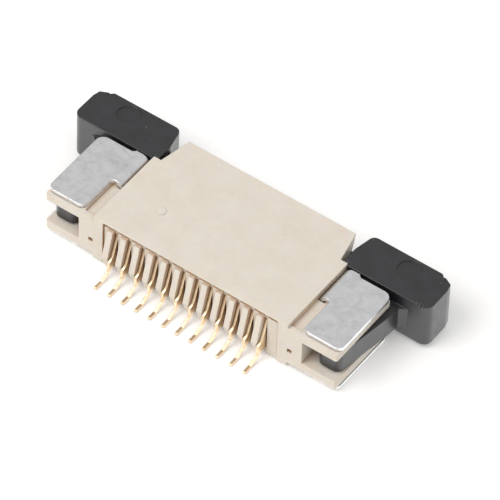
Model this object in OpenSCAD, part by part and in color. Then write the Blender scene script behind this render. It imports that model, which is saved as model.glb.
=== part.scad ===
// Right-angle surface-mount FPC/FFC connector, 1.0 mm pitch, with a slide lock.
// Frame: +Z up from the board surface, +Y towards the cable mouth, X along the contact row.
// The origin is the centre of the footprint on the board surface.

/* [Contact row] */
// Number of contacts
ways = 12; // [4:1:20]
// Distance between contact centres
pitch = 1.0; // [0.9:0.05:1.25]
// Thickness of the contact strip metal
contact_t = 0.18; // [0.15:0.01:0.24]
// Width of the solder foot's profile
foot_t = 0.19; // [0.15:0.01:0.25]
// Reach of the solder feet in front of the rear face
foot_reach = 2.0; // [1.8:0.05:2.6]

/* [Housing] */
// Height of the housing top above the board
body_h = 3.7; // [3.6:0.05:4.4]
// Depth of the housing from its rear face to the cable mouth
body_d = 8.38; // [8.2:0.05:9.6]
// Margin from the outer contact centre to the side of the housing
body_margin = 1.65; // [1.6:0.05:2.2]
// Width of one slide ear, outside the fitting nail's wall
ear_w = 2.48; // [2.4:0.05:3.2]
// Depth of the slide ears
ear_d = 5.45; // [5.3:0.05:5.6]
// Wall of a slide ear above and below its channel
ear_wall = 0.54; // [0.5:0.02:0.6]
// Standoff of the moulding above the board
standoff = 0.10; // [0.05:0.01:0.15]

/* [Slider] */
// Depth of the finger blocks along the slide
block_d = 2.90; // [2.6:0.05:3.4]
// Overhang of each finger block beyond its ear
block_over = 2.42; // [2.0:0.05:3.0]
// Thickness of the tongue that clamps the cable
tongue_t = 0.75; // [0.6:0.01:0.78]
// Travel of the slider from closed to open
travel = 1.20; // [0.8:0.05:1.3]
// Radius of the shallow ejector mark on each block
mark_r = 0.79; // [0.5:0.01:1.0]

/* [Fitting nails] */
// Thickness of the tinned sheet
nail_t = 0.27; // [0.2:0.01:0.3]
// Depth of the nail's neck along the slide
neck_d = 2.75; // [2.0:0.05:3.0]
// Inner radius of the nail's folds
fold_r = 0.35; // [0.2:0.05:0.45]

/* [Cable] */
// Thickness of the flat cable at its contact end
cable_t = 0.30; // [0.3:0.01:0.35]

/* [Clearances] */
// Gap on each side of a contact in its slot
slot_gap = 0.04; // [0.03:0.01:0.06]
// Gap round the nail's web in its slot
web_gap = 0.03; // [0.02:0.01:0.05]
// Running gap between the slider and the housing
slide_gap = 0.06; // [0.04:0.01:0.1]

/* [Hidden] */
$fn = 48;
eps = 0.02;
big = 20;

// Contact row
row_x = (ways - 1) * pitch / 2;                 // centre of the outer contact
slot_w = contact_t + 2 * slot_gap;
rib_w = pitch - slot_w;
row_end = row_x + pitch / 2 + rib_w / 2;        // outer side of the outer rib
rib_y = 0.10;                                   // rib faces, back from the flank

// Housing plan
body_x = row_x + body_margin;                   // half width of the block
cable_x = body_x - 0.55;                        // half width of the cable mouth
side_d = body_d - 2.24;                         // end of the side walls
web_x = body_x + 0.05;                          // inner face of the nail's web
wall_x = body_x + 1.07;                         // inner wall of the ear's channel
ear_x = wall_x + ear_w;

tongue_y0 = 4.0;                                // front edge of the slider's tongue

// Levels
nail_top = body_h + 0.03;
ear_top = nail_top - nail_t - 0.04;
ear_bot = nail_t + 0.14;
chan_top = ear_top - ear_wall;
chan_bot = ear_bot + ear_wall + 0.09;
floor_z = 1.35;                                 // cable's bed
tongue_z = floor_z + 0.20 + cable_t;            // underside of the tongue
beam_z = tongue_z + tongue_t + 0.08;            // underside of the contacts' upper beams
roof_z = beam_z + 0.04;
beam_top = beam_z + 0.32;
bed_z = 0.45;                                   // bottom of the grooves in the bed
slot_y1 = 1.8;                                  // back wall of the contact chambers
groove_y1 = tongue_y0 + 2.5;                    // end of the grooves in the bed and the roof
lip_t = 0.12;                                   // lip over the contact row
lip_y = 0.20;
ledge_z = body_h - 0.42;                        // tops of the ribs
nose_y0 = -0.10;                                // nose, at its top
nose_y1 = -0.63;                                // nose, at its foot edge
nose_z1 = body_h - 2.36;
groove_z = ear_top - 0.17;                      // channel beside the block, in front of the nail's neck

// Slider plan
block_y0 = ear_d + 0.52;
block_y1 = block_y0 + block_d;
block_x0 = body_x - 0.32;
block_x1 = ear_x + block_over;
block_z0 = 0.40;
leg_x0 = wall_x + 0.68;
leg_x1 = ear_x - 0.10;
leg_y0 = 0.55;
leg_z0 = chan_bot + slide_gap + 0.10;
leg_z1 = chan_top - slide_gap;
tongue_x = cable_x - 0.15;
tongue_y1 = block_y1 - 0.95;
catch_y1 = 2.2;                                 // back of the leg's catch
catch_w = 0.32;
stop_w = 0.40;
stop_y0 = catch_y1 + travel + slide_gap;        // front of the ear's stop

// Fitting nail
neck_y1 = ear_d + 0.40;
neck_y0 = neck_y1 - neck_d;
plate_x0 = wall_x - 0.17;
plate_x1 = ear_x + 0.05;
plate_y0 = 0.25;
plate_y1 = ear_d + 0.20;
tab_y0 = 0.42;
tab_z0 = body_h - 2.02;
tab_z1 = body_h - 1.25;

// Middle of the footprint, taken from foot tips to slider back
mid_y = (block_y1 - foot_reach) / 2;

function arc(x, y, r, a0, a1, n = 6) =
    [for (i = [0 : n]) let (a = a0 + (a1 - a0) * i / n) [x + r * cos(a), y + r * sin(a)]];
function name_of(k) = str("contact_", k < 10 ? "0" : "", k);
function contact_x(k) = (k - 1) * pitch - row_x;

CONTACTS = [for (k = [1 : ways]) name_of(k)];

// Puts the working frame, whose Y starts at the rear face, on the footprint's centre
module seated() translate([0, -mid_y, 0]) children();

// A shape and its mirror image across the middle plane
module both() { children(); mirror([1, 0, 0]) children(); }

// Box from low corner to high corner
module span(a, b) translate(a) cube(b - a);

// Profile drawn in Y and Z, given a width along X
module along_x(x0, x1) translate([x0, 0, 0]) rotate([90, 0, 90]) linear_extrude(x1 - x0) children();

// Profile drawn in X and Z, given a depth along Y
module along_y(y0, y1) translate([0, y1, 0]) rotate([90, 0, 0]) linear_extrude(y1 - y0) children();

// Rectangle with round corners
module round_rect(a, b, r) {
    translate([a.x + r, a.y]) square([b.x - a.x - 2 * r, b.y - a.y]);
    translate([a.x, a.y + r]) square([b.x - a.x, b.y - a.y - 2 * r]);
    for (x = [a.x + r, b.x - r], y = [a.y + r, b.y - r]) translate([x, y]) circle(r);
}

// ---------------------------------------------------------------- housing

// Plan of the block: full width along the side walls, then tapered to the mouth
module block_plan() polygon([
    [-body_x, 0], [body_x, 0], [body_x, side_d], [body_x - 0.52, side_d],
    [body_x - 0.98, body_d], [0.98 - body_x, body_d], [0.52 - body_x, side_d], [-body_x, side_d]]);

// One ear with the wall that holds the nail
module ear() difference() {
    union() {
        translate([0, 0, ear_bot]) linear_extrude(ear_top - ear_bot)
            polygon(concat([[body_x - eps, 0]], arc(ear_x - 0.14, 0.14, 0.14, -90, 0),
                           [[ear_x, ear_d], [body_x - eps, ear_d]]));
    }
    // channel, open to the front, the back and the outside
    span([wall_x, -1, chan_bot], [ear_x + 1, ear_d + 1, chan_top]);
    // shallow groove beside the block
    span([body_x, 0.35, groove_z], [plate_x0 - 0.05, neck_y0 + eps, ear_top + 1]);
}

// Stop that ends the slider's travel, on the inner wall of the channel
module ear_stop() span([wall_x - eps, stop_y0, leg_z0 + 0.30], [wall_x + stop_w, stop_y0 + 0.5, leg_z1 - 0.30]);

// Space for the nail's web, its folds and its tab
module nail_slot() {
    x0 = web_x - web_gap;
    x1 = web_x + nail_t + web_gap;
    fold_x = x1 + fold_r;
    fold_h = nail_t + fold_r + web_gap;
    span([x0, neck_y0 - web_gap, -1], [x1, big, body_h + 1]);
    // the wall's edges are cut back round the folds
    along_y(neck_y0 - web_gap, big) {
        polygon([[x0, -1], [fold_x, -1], [fold_x, nail_t], [x1, fold_h], [x0, fold_h]]);
        polygon([[x0, nail_top - fold_h], [x1, nail_top - fold_h], [fold_x, nail_top - nail_t],
                 [fold_x, body_h + 1], [x0, body_h + 1]]);
    }
    span([x0, tab_y0 - 0.10, tab_z0 - web_gap], [x1, neck_y0 + eps, tab_z1 + web_gap]);
    // core hole in the flank, below the tab
    span([x0, -1, tab_z0 - 0.30], [x1, tab_y0 + 0.4, tab_z0]);
}

// Nose on the right of each rib: it leans out to a foot edge, then cuts back under itself
module rib_nose(x) along_x(x - pitch / 2 - 0.03, x - pitch / 2 + rib_w / 2)
    polygon([[rib_y + 0.1, ledge_z - 0.03], [nose_y0, ledge_z - 0.03], [nose_y1, nose_z1],
             [nose_y1 + 0.01, nose_z1 - 0.06], [-0.27, 0.30], [rib_y + 0.1, standoff]]);

// Slot of one contact: open at the rear, with grooves in the bed and the roof
module contact_slot(x) translate([x - slot_w / 2, 0, 0]) {
    span([0, -1, -1], [slot_w, lip_y, body_h - lip_t]);
    span([0, -1, bed_z], [slot_w, slot_y1, beam_top + 0.05]);
    span([0, slot_y1 - 0.1, bed_z], [slot_w, groove_y1, floor_z + eps]);
    span([0, slot_y1 - 0.1, roof_z - eps], [slot_w, groove_y1 + 0.1, beam_top + 0.05]);
}

// Space for the cable and the tongue, open sideways behind the side walls
module mouth() {
    span([-cable_x, slot_y1, floor_z], [cable_x, big, roof_z]);
    span([-big, side_d, floor_z], [big, big, roof_z]);
    // lead-in on the bed
    along_x(-big, big) polygon([[body_d - 0.5, floor_z], [big, floor_z], [big, 0.9], [body_d, floor_z - 0.3]]);
    // back of the roof, cut back under itself
    along_x(-big, big) polygon([[body_d - 0.48, roof_z - eps], [body_d, body_h - 0.08], [big, body_h - 0.08],
                                [big, roof_z - eps]]);
}

module housing() color("antiquewhite") seated() difference() {
    union() {
        difference() {
            translate([0, 0, standoff]) linear_extrude(body_h - standoff) block_plan();
            // rear face of the ribs, under the lip
            span([-row_end, -1, -1], [row_end, rib_y, body_h - lip_t]);
            span([-row_end, -1, ledge_z], [row_end, lip_y, body_h - lip_t]);
            // narrow groove that sets the outer ribs off from the flanks
            both() span([row_end, -1, -1], [row_end + 0.07, rib_y + 0.09, body_h - lip_t - 0.06]);
        }
        // gate vestige on the top
        translate([3.0 - body_x, 2.8, body_h - eps]) cylinder(r = 0.30, h = 0.04 + eps);
        both() ear();
        both() ear_stop();
        for (k = [1 : ways]) rib_nose(contact_x(k));
    }
    for (k = [1 : ways]) contact_slot(contact_x(k));
    mouth();
    both() nail_slot();
}

// ---------------------------------------------------------------- slider

// Plan of one finger block
module finger_plan() polygon(concat(
    [[body_x + 0.07, block_y0]],
    arc(block_x1 - 0.55, block_y0 + 0.55, 0.55, -90, 0),
    [[block_x1 - 0.02, block_y1 - 0.90], [block_x1 - 0.14, block_y1 - 0.42],
     [block_x1 - 0.66, block_y1 - 0.16], [block_x1 - 0.78, block_y1 - 0.20],
     [block_x1 - 0.92, block_y1 - 0.06], [block_x1 - 1.02, block_y1],
     [block_x0 + 0.65, block_y1]],
    arc(block_x0 + 0.65, block_y1 - 0.42, 0.42, 100, 165, 3),
    [[block_x0, block_y1 - 1.50], [block_x0, side_d + slide_gap], [body_x + 0.07, side_d + slide_gap]]));

// Plan of one leg: it widens towards its root and ends in a small gusset
module leg_plan() polygon(concat(
    [[leg_x0, block_y0 + 0.2]],
    arc(leg_x0 + 0.5, leg_y0 + 0.5, 0.5, 180, 270),
    arc(leg_x1 - 0.54, leg_y0 + 0.50, 0.50, 270, 350),
    [[leg_x1 + 0.52, ear_d - 0.65], [leg_x1 + 0.60, block_y0 - 0.30], [leg_x1 + 1.05, block_y0],
     [leg_x1 + 1.05, block_y0 + 0.2]]));

// Catch on the inside of the leg, which meets the ear's stop when open
module leg_catch() translate([0, 0, leg_z0 + 0.36]) linear_extrude(leg_z1 - leg_z0 - 0.72)
    polygon([[leg_x0 + eps, catch_y1 - 0.9], [leg_x0 + eps, catch_y1], [leg_x0 - catch_w, catch_y1],
             [leg_x0 - catch_w, catch_y1 - 0.3]]);

// One end of the slider: finger block, leg and catch
module slider_end() {
    difference() {
        translate([0, 0, block_z0]) linear_extrude(body_h - block_z0) finger_plan();
        translate([ear_x - 0.32, block_y1 - 0.92, body_h - 0.08]) cylinder(r = mark_r, h = 1);
    }
    translate([0, 0, leg_z0]) linear_extrude(leg_z1 - leg_z0) leg_plan();
    leg_catch();
}

// Wedge tongue that presses the cable on the contacts, with the bar that joins the ends
module tongue() {
    top = tongue_z + tongue_t;
    along_x(-tongue_x, tongue_x) polygon([
        [tongue_y0, tongue_z + 0.25], [tongue_y0 + 0.5, tongue_z], [tongue_y1, tongue_z],
        [tongue_y1, top], [tongue_y0 + 0.3, top], [tongue_y0, top - 0.2]]);
    span([-block_x0 - 0.3, side_d + 0.22, tongue_z], [block_x0 + 0.3, tongue_y1 - 0.05, top]);
}

module slider() color("#444246") seated() difference() {
    union() {
        both() slider_end();
        tongue();
    }
    // scuffed front edge on the right-hand block
    for (p = [[-0.95, 0.13], [-0.72, 0.17], [-0.48, 0.12]])
        translate([block_x1 + p.x, block_y0, body_h + 0.02]) sphere(r = p.y);
}

// ---------------------------------------------------------------- fitting nails

// Section of the folded sheet: upper leaf, web and lower leaf
module nail_section() {
    r_out = fold_r + nail_t;
    x_in = web_x + r_out;
    square_x = max(x_in, plate_x0) + 0.2;
    translate([x_in, nail_top - nail_t]) square([square_x - x_in, nail_t]);
    translate([x_in, 0]) square([square_x - x_in, nail_t]);
    translate([web_x, r_out]) square([nail_t, nail_top - 2 * r_out]);
    for (up = [0, 1]) translate([x_in, up ? nail_top - r_out : r_out]) difference() {
        intersection() {
            circle(r_out);
            translate([-r_out, up ? 0 : -r_out]) square(r_out);
        }
        circle(fold_r);
    }
}

module nail() {
    x_in = web_x + nail_t + fold_r;   // inner side of the flat leaves
    neck_fillet = plate_x0 - x_in;
    front_r = 0.45;
    back_r = 0.55;
    along_y(neck_y0, neck_y1) nail_section();
    // upper leaf, with a fillet at its narrow neck and a step at the back
    translate([0, 0, nail_top - nail_t]) linear_extrude(nail_t) polygon(concat(
        arc(x_in, neck_y0 - neck_fillet, neck_fillet, 90, 0),
        arc(plate_x0 + front_r, plate_y0 + front_r, front_r, 180, 270),
        arc(plate_x1 - front_r, plate_y0 + front_r, front_r, 270, 360),
        arc(plate_x1 - back_r, plate_y1 - back_r, back_r, 0, 90),
        [[plate_x0 + 0.40, plate_y1], [plate_x0 + 0.22, neck_y1 - 0.07], [plate_x0 + 0.04, neck_y1],
         [x_in, neck_y1]]));
    // lower leaf, which is soldered to the board
    linear_extrude(nail_t) round_rect([plate_x0 + 0.2, plate_y0 - 0.05], [plate_x1 - 0.05, ear_d - 0.05], 0.38);
    // tab that reaches through the end wall to the flank
    span([web_x, tab_y0, tab_z0], [web_x + nail_t, neck_y0 + eps, tab_z1]);
}

module hold_down_right() color("gainsboro") seated() nail();
module hold_down_left() color("gainsboro") seated() mirror([1, 0, 0]) nail();

// ---------------------------------------------------------------- contacts

// Stamped profile, drawn round from the tip of the solder foot: arm, tall leg beside the nose,
// upper beam that backs the tongue, spring beam with its contact nose, and base beam in the bed
module contact_profile() {
    tip_z = tongue_z - cable_t;       // the contact nose lifts the cable against the tongue
    shin_y = nose_y1 - 0.04;
    leg_back = 0.34;                  // leg's front edge, behind the front of the nose
    spring_z = floor_z - 0.05;
    nose_y = tongue_y0 + 1.6;         // contact nose, under the middle of the tongue
    beam_y = tongue_y0 + 2.2;
    root_y = slot_y1 - 0.1;
    base_y = root_y + 1.9;
    base_z = bed_z + 0.05;
    polygon(concat(
        arc(-foot_reach + foot_t / 2, foot_t / 2, foot_t / 2, 270, 90, 6),
        arc(-foot_reach + 0.58, foot_t + 0.16, 0.16, 270, 316, 3),
        arc(shin_y - 0.20, 0.62, 0.20, -44, 0, 3),
        [[shin_y, nose_z1 - 0.22], [shin_y + 0.05, nose_z1 - 0.12], [nose_y1 + leg_back - 0.12, nose_z1],
         [nose_y1 + leg_back, nose_z1 + 0.12], [nose_y0 + leg_back, beam_top]],
        [[beam_y, beam_top], [beam_y + 0.1, beam_top - 0.06], [beam_y + 0.1, beam_z + 0.12],
         [beam_y - 0.2, beam_z], [root_y, beam_z]],
        [[root_y, spring_z], [nose_y - 0.5, spring_z], [nose_y - 0.15, tip_z], [nose_y + 0.15, tip_z],
         [nose_y + 0.5, spring_z - 0.2], [nose_y + 0.45, spring_z - 0.32], [nose_y - 0.4, spring_z - 0.22],
         [root_y, spring_z - 0.38]],
        [[root_y, base_z + 0.28], [base_y, base_z + 0.28], [base_y, base_z + 0.1], [base_y - 0.2, base_z],
         [0.8, base_z], [0.8, base_z + 0.12], [shin_y + 0.42, base_z + 0.12], [shin_y + 0.25, base_z + 0.02]],
        arc(-foot_reach + 0.64, 0.30, 0.30, -44, -90, 4)));
}

module contact(k) color("#d9c08a") seated()
    translate([contact_x(k), 0, 0]) along_x(-contact_t / 2, contact_t / 2) contact_profile();

housing();
slider();
hold_down_left();
hold_down_right();
for (k = [1 : ways]) contact(k);
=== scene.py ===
"""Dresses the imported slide-lock FPC connector: finishes, soft edges, studio and camera."""

import logging
import math
from dataclasses import dataclass, field
from enum import Enum

import bpy
from mathutils import Matrix, Vector


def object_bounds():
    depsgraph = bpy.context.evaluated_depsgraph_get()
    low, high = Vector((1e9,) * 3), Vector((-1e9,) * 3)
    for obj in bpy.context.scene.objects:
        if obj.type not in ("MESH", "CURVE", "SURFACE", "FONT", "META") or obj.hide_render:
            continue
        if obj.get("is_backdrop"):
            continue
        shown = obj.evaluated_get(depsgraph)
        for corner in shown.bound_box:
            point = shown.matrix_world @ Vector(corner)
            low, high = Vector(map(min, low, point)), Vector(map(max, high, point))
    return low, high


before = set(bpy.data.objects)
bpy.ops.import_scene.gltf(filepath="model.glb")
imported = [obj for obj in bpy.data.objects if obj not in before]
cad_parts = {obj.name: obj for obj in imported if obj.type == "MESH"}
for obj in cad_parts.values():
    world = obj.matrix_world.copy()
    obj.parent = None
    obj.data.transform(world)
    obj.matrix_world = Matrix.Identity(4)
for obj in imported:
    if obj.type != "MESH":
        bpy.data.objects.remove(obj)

LOG = logging.getLogger("fpc_connector")
MM = 0.001
EDGE_SAMPLES = 6
SHADE_SAMPLES = 8


# ---------------------------------------------------------------- helpers


def srgb(code: str, alpha: float = 1.0) -> tuple[float, float, float, float]:
    """Turns an sRGB hex value into Blender's linear colour.

    Args:
        code: Six hex digits, with or without a leading #.
        alpha: The fourth channel.

    Returns:
        Linear red, green, blue and alpha.
    """
    digits = code.lstrip("#")
    channels = [int(digits[i : i + 2], 16) / 255 for i in (0, 2, 4)]
    linear = [c / 12.92 if c <= 0.04045 else ((c + 0.055) / 1.055) ** 2.4 for c in channels]
    return (linear[0], linear[1], linear[2], alpha)


def per_mm(size_mm: float) -> float:
    """Texture scale, in cycles per metre, of a pattern whose features are size_mm across."""
    return 1.0 / (size_mm * MM)


def add_node(
    tree: bpy.types.NodeTree,
    kind: str,
    links: dict | None = None,
    values: dict | None = None,
    stops: list[tuple[float, tuple]] | None = None,
    **settings: object,
) -> bpy.types.Node:
    """Adds one node with its settings, socket values, ramp stops and incoming links.

    Args:
        tree: The node tree that gets the node.
        kind: Blender's name for the node type.
        links: Input name or index to the socket that feeds it.
        values: Input name or index to its constant value.
        stops: Positions and colours of a colour ramp.
        **settings: Properties of the node itself.

    Returns:
        The new node.
    """
    node = tree.nodes.new(kind)
    for key, value in settings.items():
        setattr(node, key, value)
    for key, value in (values or {}).items():
        node.inputs[key].default_value = value
    for key, socket in (links or {}).items():
        tree.links.new(socket, node.inputs[key])
    if stops:
        ramp = node.color_ramp
        while len(ramp.elements) < len(stops):
            ramp.elements.new(0.5)
        for element, (position, colour) in zip(ramp.elements, stops):
            element.position, element.color = position, colour
    return node


def grey(level: float) -> tuple[float, float, float, float]:
    """A neutral linear colour."""
    return (level, level, level, 1.0)


# ---------------------------------------------------------------- finishes


class Grain(Enum):
    """Which way a rolled or drawn metal's lines run."""

    ALONG_X = (0.06, 1.0, 1.0)
    ALONG_Y = (1.0, 0.06, 1.0)


@dataclass(frozen=True)
class Finish:
    """A surface finish that turns into one procedural material."""

    name: str
    colour: str
    roughness: float
    edge_mm: float = 0.05

    def start(
        self,
    ) -> tuple[bpy.types.Material, bpy.types.NodeTree, bpy.types.Node, bpy.types.NodeSocket]:
        """Makes the material with its shader, output and object coordinates.

        Returns:
            The material, its tree, its Principled shader and the coordinate socket.
        """
        material = bpy.data.materials.new(self.name)
        material.use_nodes = True
        tree = material.node_tree
        tree.nodes.clear()
        shader = add_node(tree, "ShaderNodeBsdfPrincipled", values={"Roughness": self.roughness})
        add_node(tree, "ShaderNodeOutputMaterial", links={"Surface": shader.outputs["BSDF"]})
        place = add_node(tree, "ShaderNodeTexCoord").outputs["Object"]
        return material, tree, shader, place

    def soft_edge(self, tree: bpy.types.NodeTree) -> bpy.types.NodeSocket:
        """Normal that turns every sharp edge over a small radius, as a tool or a die leaves it."""
        return add_node(
            tree, "ShaderNodeBevel", values={"Radius": self.edge_mm * MM}, samples=EDGE_SAMPLES
        ).outputs["Normal"]

    def material(self) -> bpy.types.Material:
        """Builds the material."""
        raise NotImplementedError


@dataclass(frozen=True)
class MouldedLcp(Finish):
    """Liquid crystal polymer, injection moulded in a spark-eroded tool: matt, with faint flow mottling."""

    shade: str = "#dfd4c5"
    # painted shade: the darker, warmer colour that the recesses are mixed towards
    painted_recess_shade: str = "#b4813f"
    ior: float = 1.55
    bleed: float = 0.3
    bleed_mm: float = 0.35
    bleed_rgb: tuple[float, float, float] = (1.0, 0.6, 0.3)
    recess_mm: float = 1.5
    mottle_mm: float = 1.9
    fleck_mm: float = 0.32
    grit_mm: float = 0.09
    grit_depth_mm: float = 0.004

    def material(self) -> bpy.types.Material:
        """Builds the mottled, finely gritted plastic, with painted warm shade in its recesses.

        Returns:
            The finished material.
        """
        material, tree, shader, place = self.start()
        shader.inputs["IOR"].default_value = self.ior
        # flow of the glass-filled melt: broad soft clouds, then smaller flecks
        cloud = add_node(tree, "ShaderNodeTexNoise", links={"Vector": place},
                         values={"Scale": per_mm(self.mottle_mm), "Detail": 2.0, "Roughness": 0.5})
        fleck = add_node(tree, "ShaderNodeTexNoise", links={"Vector": place},
                         values={"Scale": per_mm(self.fleck_mm), "Detail": 3.0, "Roughness": 0.6})
        both = add_node(tree, "ShaderNodeMix", data_type="FLOAT", values={"Factor": 0.45},
                        links={"A": cloud.outputs["Fac"], "B": fleck.outputs["Fac"]})
        tint = add_node(tree, "ShaderNodeValToRGB", links={"Fac": both.outputs["Result"]},
                        stops=[(0.34, srgb(self.shade)), (0.60, srgb(self.colour))])
        # painted shade: the occlusion mixes recesses towards a darker, warmer colour, standing in for the warm
        # light that the resin gives back out of them
        open_sky = add_node(tree, "ShaderNodeAmbientOcclusion", values={"Distance": self.recess_mm * MM},
                            samples=SHADE_SAMPLES, only_local=True)
        painted_shade_amount = add_node(tree, "ShaderNodeMapRange", links={"Value": open_sky.outputs["AO"]},
                         values={"From Min": 0.15, "From Max": 0.74, "To Min": 0.80, "To Max": 0.0})
        painted_warm_shade = add_node(tree, "ShaderNodeMix", data_type="RGBA", values={"B": srgb(self.painted_recess_shade)},
                        links={"Factor": painted_shade_amount.outputs["Result"], "A": tint.outputs["Color"]})
        tree.links.new(painted_warm_shade.outputs["Result"], shader.inputs["Base Color"])
        shader.inputs["Subsurface Weight"].default_value = self.bleed
        shader.inputs["Subsurface Radius"].default_value = self.bleed_rgb
        shader.inputs["Subsurface Scale"].default_value = self.bleed_mm * MM
        # spark-eroded tool grit, coarser than the real 0.02 mm so that it shows
        grit = add_node(tree, "ShaderNodeTexNoise", links={"Vector": place},
                        values={"Scale": per_mm(self.grit_mm), "Detail": 2.0, "Roughness": 0.55})
        bump = add_node(tree, "ShaderNodeBump", values={"Strength": 0.35, "Distance": self.grit_depth_mm * MM},
                        links={"Height": grit.outputs["Fac"], "Normal": self.soft_edge(tree)})
        tree.links.new(bump.outputs["Normal"], shader.inputs["Normal"])
        return material


@dataclass(frozen=True)
class MouldedPps(Finish):
    """Carbon-black polyphenylene sulphide, glass filled: dark satin with pale fibre specks."""

    speck: str = "#8d8a88"
    bloom: str = "#222126"
    ior: float = 1.68
    cloud_mm: float = 1.2
    speck_mm: float = 0.16
    speck_spacing: float = 3.0
    speck_patch_mm: float = 0.9
    grit_mm: float = 0.08
    grit_depth_mm: float = 0.005

    def material(self) -> bpy.types.Material:
        """Builds the dark plastic with fibre specks.

        Returns:
            The finished material.
        """
        material, tree, shader, place = self.start()
        shader.inputs["IOR"].default_value = self.ior
        cloud = add_node(tree, "ShaderNodeTexNoise", links={"Vector": place},
                         values={"Scale": per_mm(self.cloud_mm), "Detail": 4.0, "Roughness": 0.6})
        base = add_node(tree, "ShaderNodeValToRGB", links={"Fac": cloud.outputs["Fac"]},
                        stops=[(0.35, srgb(self.colour)), (0.72, srgb(self.bloom))])
        # ends of glass fibres at the skin, a few to the square millimetre
        cells = add_node(tree, "ShaderNodeTexVoronoi", links={"Vector": place},
                         values={"Scale": per_mm(self.speck_mm * self.speck_spacing), "Randomness": 1.0})
        rare = add_node(tree, "ShaderNodeTexNoise", links={"Vector": place},
                        values={"Scale": per_mm(self.speck_patch_mm), "Detail": 1.0})
        dots = add_node(tree, "ShaderNodeValToRGB", links={"Fac": cells.outputs["Distance"]},
                        stops=[(0.05, grey(1.0)), (0.13, grey(0.0))])
        where = add_node(tree, "ShaderNodeValToRGB", links={"Fac": rare.outputs["Fac"]},
                         stops=[(0.50, grey(0.0)), (0.66, grey(0.75))])
        amount = add_node(tree, "ShaderNodeMath", links={0: dots.outputs["Color"], 1: where.outputs["Color"]},
                          operation="MULTIPLY")
        colour = add_node(tree, "ShaderNodeMix", data_type="RGBA", values={"B": srgb(self.speck)},
                          links={"Factor": amount.outputs["Value"], "A": base.outputs["Color"]})
        tree.links.new(colour.outputs["Result"], shader.inputs["Base Color"])
        rough = add_node(tree, "ShaderNodeMapRange", links={"Value": cloud.outputs["Fac"]},
                         values={"From Min": 0.3, "From Max": 0.7, "To Min": self.roughness - 0.06,
                                 "To Max": self.roughness + 0.08})
        tree.links.new(rough.outputs["Result"], shader.inputs["Roughness"])
        grit = add_node(tree, "ShaderNodeTexNoise", links={"Vector": place},
                        values={"Scale": per_mm(self.grit_mm), "Detail": 2.0, "Roughness": 0.6})
        bump = add_node(tree, "ShaderNodeBump", values={"Strength": 0.45, "Distance": self.grit_depth_mm * MM},
                        links={"Height": grit.outputs["Fac"], "Normal": self.soft_edge(tree)})
        tree.links.new(bump.outputs["Normal"], shader.inputs["Normal"])
        return material


@dataclass(frozen=True)
class PlatedMetal(Finish):
    """Plated strip metal: rolled lines, cloudy plating and a fine scuffed skin."""

    shade: str = "#a6a7ab"
    grain: Grain = Grain.ALONG_X
    line_mm: float = 0.05
    cloud_mm: float = 0.9
    line_depth_mm: float = 0.003
    slot_mm: float = 0.45
    # painted shade: the darker tone that the plating is mixed towards close to a wall
    painted_slot_shade: str = "#85694a"
    scuff: float = 0.5

    def material(self) -> bpy.types.Material:
        """Builds the plated metal, with painted shade where it stands close to a wall.

        Returns:
            The finished material.
        """
        material, tree, shader, place = self.start()
        shader.inputs["Metallic"].default_value = 1.0
        stretched = add_node(tree, "ShaderNodeMapping", links={"Vector": place},
                             values={"Scale": self.grain.value})
        lines = add_node(tree, "ShaderNodeTexNoise", links={"Vector": stretched.outputs["Vector"]},
                         values={"Scale": per_mm(self.line_mm), "Detail": 3.0, "Roughness": 0.65})
        cloud = add_node(tree, "ShaderNodeTexNoise", links={"Vector": place},
                         values={"Scale": per_mm(self.cloud_mm), "Detail": 5.0, "Roughness": 0.62,
                                 "Distortion": 0.4})
        mixed = add_node(tree, "ShaderNodeMix", data_type="FLOAT", values={"Factor": 0.4},
                         links={"A": cloud.outputs["Fac"], "B": lines.outputs["Fac"]})
        tint = add_node(tree, "ShaderNodeValToRGB", links={"Fac": mixed.outputs["Result"]},
                        stops=[(0.30, srgb(self.shade)), (0.56, srgb(self.colour))])
        # painted shade: the occlusion mixes the plating towards a darker tone where it stands close to a wall,
        # as in a contact's slot
        open_sky = add_node(tree, "ShaderNodeAmbientOcclusion", values={"Distance": self.slot_mm * MM},
                            samples=SHADE_SAMPLES)
        painted_shade_amount = add_node(tree, "ShaderNodeMapRange", links={"Value": open_sky.outputs["AO"]},
                         values={"From Min": 0.30, "From Max": 0.72, "To Min": 0.9, "To Max": 0.0})
        with_painted_shade = add_node(tree, "ShaderNodeMix", data_type="RGBA", values={"B": srgb(self.painted_slot_shade)},
                         links={"Factor": painted_shade_amount.outputs["Result"], "A": tint.outputs["Color"]})
        tree.links.new(with_painted_shade.outputs["Result"], shader.inputs["Base Color"])
        rough = add_node(tree, "ShaderNodeMapRange", links={"Value": mixed.outputs["Result"]},
                         values={"From Min": 0.3, "From Max": 0.65, "To Min": self.roughness + 0.12 * self.scuff,
                                 "To Max": self.roughness})
        tree.links.new(rough.outputs["Result"], shader.inputs["Roughness"])
        bump = add_node(tree, "ShaderNodeBump", values={"Strength": 0.3, "Distance": self.line_depth_mm * MM},
                        links={"Height": lines.outputs["Fac"], "Normal": self.soft_edge(tree)})
        tree.links.new(bump.outputs["Normal"], shader.inputs["Normal"])
        return material


# ---------------------------------------------------------------- sub-assemblies


@dataclass
class SubAssembly:
    """CAD nodes that share one finish."""

    nodes: tuple[str, ...]
    finish: Finish

    def dress(self) -> list[str]:
        """Puts the finish on every CAD node.

        Returns:
            The names of the pieces that were dressed.
        """
        material = self.finish.material()
        for name in self.nodes:
            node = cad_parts[name]
            node.data.materials.clear()
            node.data.materials.append(material)
        return list(self.nodes)


@dataclass
class Housing(SubAssembly):
    """The ivory moulding."""


@dataclass
class Slider(SubAssembly):
    """The black moulding that slides and locks."""


@dataclass
class FittingNails(SubAssembly):
    """The two folded nails."""


@dataclass
class ContactRow(SubAssembly):
    """The row of stamped contacts."""


# ---------------------------------------------------------------- studio


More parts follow.
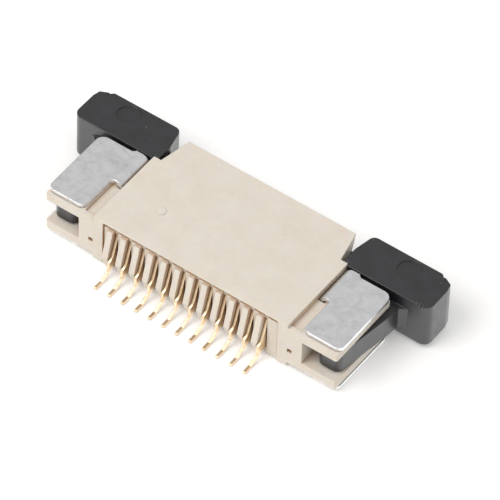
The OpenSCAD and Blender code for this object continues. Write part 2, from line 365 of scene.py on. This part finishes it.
@dataclass
class Lamp:
    """One soft area lamp, placed round the part by its angles."""

    name: str
    azimuth: float
    elevation: float
    distance_mm: float
    size_mm: float
    watts: float

    def place(self, centre: Vector) -> None:
        """Makes the lamp and points it at the part.

        Args:
            centre: The middle of the part.
        """
        away = direction(self.azimuth, self.elevation)
        data = bpy.data.lights.new(self.name, "AREA")
        data.shape, data.size, data.energy = "SQUARE", self.size_mm * MM, self.watts
        lamp = bpy.data.objects.new(self.name, data)
        bpy.context.scene.collection.objects.link(lamp)
        lamp.location = centre + away * (self.distance_mm * MM)
        lamp.rotation_mode = "QUATERNION"
        lamp.rotation_quaternion = away.to_track_quat("Z", "Y")


def direction(azimuth: float, elevation: float) -> Vector:
    """Unit vector from the part towards a place seen at these angles, in degrees."""
    a, e = math.radians(azimuth), math.radians(elevation)
    return Vector((math.sin(a) * math.cos(e), -math.cos(a) * math.cos(e), math.sin(e)))


@dataclass
class Viewpoint:
    """Long-lens camera above the solder side, turned a little about its own axis."""

    azimuth: float = 34.5
    elevation: float = 48.4
    roll: float = 2.0
    distance_mm: float = 355.0
    lens_mm: float = 427.7
    pivot_mm: tuple[float, float, float] = (0.0, -0.435, 2.2)
    aim_mm: tuple[float, float, float] = (1.306, 0.917, 2.533)

    def place(self) -> None:
        """Makes the camera and gives it to the scene."""
        back = direction(self.azimuth, self.elevation)
        here = Vector(self.pivot_mm) * MM + back * (self.distance_mm * MM)
        z_axis = (here - Vector(self.aim_mm) * MM).normalized()
        right = Vector((math.cos(math.radians(self.azimuth)), math.sin(math.radians(self.azimuth)), 0.0))
        right = (right - z_axis * right.dot(z_axis)).normalized()
        up = z_axis.cross(right)
        turn = math.radians(self.roll)
        x_axis = right * math.cos(turn) + up * math.sin(turn)
        y_axis = z_axis.cross(x_axis)
        data = bpy.data.cameras.new("camera")
        data.sensor_width, data.lens = 36.0, self.lens_mm
        data.clip_start, data.clip_end = 0.01, 10.0
        camera = bpy.data.objects.new("camera", data)
        bpy.context.scene.collection.objects.link(camera)
        camera.matrix_world = Matrix(
            [[x_axis[i], y_axis[i], z_axis[i], here[i]] for i in range(3)] + [[0.0, 0.0, 0.0, 1.0]]
        )
        bpy.context.scene.camera = camera


@dataclass
class Studio:
    """Pale floor, white surround and soft lamps."""

    ambient: float = 0.57
    sky_seen: float = 0.67
    floor_size_mm: float = 1200.0
    floor_colour: str = "#f4f3f1"
    floor_lift: float = 0.22
    floor_glow: float = 0.80
    lamps: list[Lamp] = field(default_factory=lambda: [
        Lamp("key", -28.0, 56.0, 260.0, 150.0, 0.32),
        Lamp("fill", 60.0, 55.0, 300.0, 200.0, 0.10),
    ])

    def build(self) -> None:
        """Makes the floor, the world and the lamps."""
        low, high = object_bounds()
        self.make_floor(low.z)
        self.make_world()
        for lamp in self.lamps:
            lamp.place((low + high) / 2)

    def by_ray(
        self, tree: bpy.types.NodeTree, camera: float, glossy: float, other: float
    ) -> bpy.types.NodeSocket:
        """A level for camera and transmission rays, one for glossy rays and one for the rest.

        Args:
            tree: The node tree of the surround or the floor.
            camera: What the camera sees, also through something clear.
            glossy: What a shiny surface sees.
            other: What only carries light.

        Returns:
            The socket that gives the level.
        """
        path = add_node(tree, "ShaderNodeLightPath")
        seen = add_node(tree, "ShaderNodeMath", operation="MAXIMUM",
                        links={0: path.outputs["Is Camera Ray"], 1: path.outputs["Is Transmission Ray"]})
        shiny = add_node(tree, "ShaderNodeMapRange", links={"Value": path.outputs["Is Glossy Ray"]},
                         values={"To Min": other, "To Max": glossy})
        return add_node(tree, "ShaderNodeMix", data_type="FLOAT", values={"B": camera},
                        links={"Factor": seen.outputs["Value"], "A": shiny.outputs["Result"]}).outputs["Result"]

    def make_floor(self, height: float) -> None:
        """Makes the floor, lifted towards white for the camera and brighter in reflections.

        Args:
            height: The level that the part stands on.
        """
        half = self.floor_size_mm * MM / 2
        mesh = bpy.data.meshes.new("floor")
        corners = [(x, y, height) for x, y in ((-half, -half), (half, -half), (half, half), (-half, half))]
        mesh.from_pydata(corners, [], [(0, 1, 2, 3)])
        floor = bpy.data.objects.new("floor", mesh)
        bpy.context.scene.collection.objects.link(floor)
        floor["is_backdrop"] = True
        material = bpy.data.materials.new("white_sweep_paper")
        material.use_nodes = True
        tree = material.node_tree
        tree.nodes.clear()
        paper = add_node(tree, "ShaderNodeBsdfDiffuse", values={"Color": srgb(self.floor_colour)})
        glow = add_node(tree, "ShaderNodeEmission", values={"Color": grey(1.0)},
                        links={"Strength": self.by_ray(tree, self.floor_lift, self.floor_glow, 0.0)})
        both = add_node(tree, "ShaderNodeAddShader",
                        links={0: paper.outputs["BSDF"], 1: glow.outputs["Emission"]})
        add_node(tree, "ShaderNodeOutputMaterial", links={"Surface": both.outputs["Shader"]})
        mesh.materials.append(material)

    def make_world(self) -> None:
        """Makes the surround: plain light on the part, a softer level in reflections, white behind."""
        world = bpy.data.worlds.new("surround")
        bpy.context.scene.world = world
        world.use_nodes = True
        tree = world.node_tree
        tree.nodes.clear()
        sky = add_node(tree, "ShaderNodeBackground", values={"Color": grey(1.0)},
                       links={"Strength": self.by_ray(tree, 1.0, self.sky_seen, self.ambient)})
        add_node(tree, "ShaderNodeOutputWorld", links={"Surface": sky.outputs["Background"]})


# ---------------------------------------------------------------- main


IVORY_LCP = MouldedLcp("ivory_lcp_moulded", "#e4dbcf", 0.52, 0.05)
BLACK_PPS = MouldedPps("black_pps_moulded", "#131216", 0.36, 0.10)
TINNED_SHEET = PlatedMetal("tinned_sheet_rolled", "#ebebec", 0.32, 0.11, shade="#cbcccd", line_mm=0.04,
                           cloud_mm=0.6, painted_slot_shade="#8f8a84")
GOLD_PLATE = PlatedMetal("gold_plated_strip", "#ead6b8", 0.38, 0.05, shade="#c9ab82", grain=Grain.ALONG_Y,
                         line_mm=0.03, cloud_mm=0.5, scuff=0.3)


def connector() -> list[SubAssembly]:
    """The connector's sub-assemblies, in the order that they are built."""
    contacts = tuple(sorted(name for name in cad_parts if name.startswith("contact_")))
    return [
        Housing(("housing",), IVORY_LCP),
        Slider(("slider",), BLACK_PPS),
        FittingNails(("hold_down_left", "hold_down_right"), TINNED_SHEET),
        ContactRow(contacts, GOLD_PLATE),
    ]


def main() -> None:
    """Dresses the connector, builds the studio and places the camera."""
    logging.basicConfig(level=logging.INFO, format="%(name)s: %(message)s")
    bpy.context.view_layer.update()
    for part in connector():
        for piece in part.dress():
            LOG.info("%s: %s, finish %s", type(part).__name__, piece, part.finish.name)
    Studio().build()
    Viewpoint().place()
    bpy.context.scene.view_settings.view_transform = "Standard"


if __name__ == "__main__":
    main()
